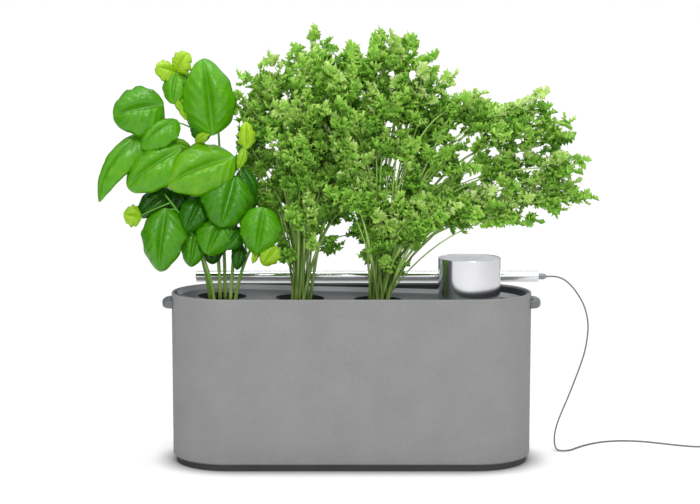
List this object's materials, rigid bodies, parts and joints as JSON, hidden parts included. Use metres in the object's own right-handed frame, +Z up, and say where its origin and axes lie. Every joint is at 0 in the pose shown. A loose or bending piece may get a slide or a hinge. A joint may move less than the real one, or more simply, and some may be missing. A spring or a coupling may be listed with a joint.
{
  "type": "countertop hydroponic garden",
  "caption": "Round-ended planter box with a lift-out water tank, a sloping deck of net pots with herbs, a water filler under a metal cap and a slim lamp on a telescopic mast.",
  "frame": {"origin": "centre of the flat underside of the plinth, on the surface that the garden stands on", "axes": "+X along the casing towards the filler end, +Y to the back, where the mast stands, +Z up"},
  "size_m": [0.7737, 0.1486, 0.4745],
  "materials": {
    "casing": "matte",
    "plinth": "matte",
    "foot_rubber": "matte",
    "seal_rubber": "satin",
    "screw_steel": "satin",
    "handle_plastic": "satin",
    "tank_plastic": "satin",
    "deck_plastic": "satin",
    "cage_plastic": "satin",
    "float_plastic": "satin",
    "cap_chrome": "polished",
    "cap_lid": "satin",
    "pot_plastic": "satin",
    "grow_fibre": "matte",
    "basil_green": "satin",
    "parsley_green": "satin",
    "bracket_plastic": "satin",
    "mast_aluminium": "satin",
    "bush_plastic": "satin",
    "lamp_metal": "polished",
    "diffuser": "satin",
    "board": "satin",
    "chips": "gloss",
    "plug_plastic": "satin",
    "cord_jacket": "satin",
    "tie_plastic": "satin"
  },
  "bodies": {
    "root": {"outer_casing": "casing", "base_plate": "plinth", "rubber_feet": "foot_rubber", "base_screws": "screw_steel", "left_handle": "handle_plastic", "right_handle": "handle_plastic", "handle_screws": "screw_steel", "upper_bracket": "bracket_plastic", "lower_bracket": "bracket_plastic", "bracket_screws": "screw_steel", "mast_outer_tube": "mast_aluminium", "mast_outer_bush": "bush_plastic", "cord_run": "cord_jacket", "cord_coil": "cord_jacket", "coil_tie": "tie_plastic", "usb_plug": "plug_plastic"},
    "tank": {"tank": "tank_plastic"},
    "deck": {"deck": "deck_plastic", "deck_seal": "seal_rubber", "float_cage": "cage_plastic"},
    "level_float": {"level_float": "float_plastic"},
    "filler_cap": {"filler_cap": "cap_chrome", "cap_top": "cap_lid"},
    "left_pot": {"left_net_pot": "pot_plastic", "left_grow_plug": "grow_fibre", "basil_plant": "basil_green"},
    "middle_pot": {"middle_net_pot": "pot_plastic", "middle_grow_plug": "grow_fibre", "middle_parsley": "parsley_green"},
    "right_pot": {"right_net_pot": "pot_plastic", "right_grow_plug": "grow_fibre", "right_parsley": "parsley_green"},
    "mast_middle": {"mast_middle_tube": "mast_aluminium", "mast_middle_bush": "bush_plastic"},
    "lamp_head": {"mast_inner_rod": "mast_aluminium", "lamp_collar": "lamp_metal", "collar_screw": "screw_steel"},
    "lamp": {"lamp_tube": "lamp_metal", "lamp_diffuser": "diffuser", "led_board": "board", "led_chips": "chips", "left_end_cap": "lamp_metal", "right_end_cap": "lamp_metal", "lamp_plug": "plug_plastic"}
  },
  "joints": [
    {"name": "tank_lift", "type": "slide", "parent": "root", "child": "tank", "axis": [0, 0, 1], "range_m": [0, 0.182]},
    {"name": "deck_lift", "type": "slide", "parent": "tank", "child": "deck", "axis": [0, 0, 1], "range_m": [0, 0.075]},
    {"name": "left_pot_lift", "type": "slide", "parent": "deck", "child": "left_pot", "axis": [0, 0, 1], "range_m": [0, 0.07]},
    {"name": "middle_pot_lift", "type": "slide", "parent": "deck", "child": "middle_pot", "axis": [0, 0, 1], "range_m": [0, 0.07]},
    {"name": "right_pot_lift", "type": "slide", "parent": "deck", "child": "right_pot", "axis": [0, 0, 1], "range_m": [0, 0.07]},
    {"name": "cap_lift", "type": "slide", "parent": "deck", "child": "filler_cap", "axis": [0, 0, 1], "range_m": [0, 0.012]},
    {"name": "float_rise", "type": "slide", "parent": "deck", "child": "level_float", "axis": [0, 0, 1], "range_m": [0, 0.09]},
    {"name": "lamp_height", "type": "slide", "parent": "root", "child": "lamp_head", "axis": [0, 0, 1], "range_m": [0, 0.28]},
    {"name": "mast_extension", "type": "slide", "parent": "root", "child": "mast_middle", "axis": [0, 0, 1], "range_m": [0, 0.14]},
    {"name": "lamp_tilt", "type": "hinge", "parent": "lamp_head", "child": "lamp", "pos_m": [0.131, 0.075, 0.1955], "axis": [1, 0, 0], "range_deg": [-20, 60]}
  ],
  "couplings": [
    {"joint": "mast_extension", "follows": "lamp_height", "ratio": 0.5}
  ]
}
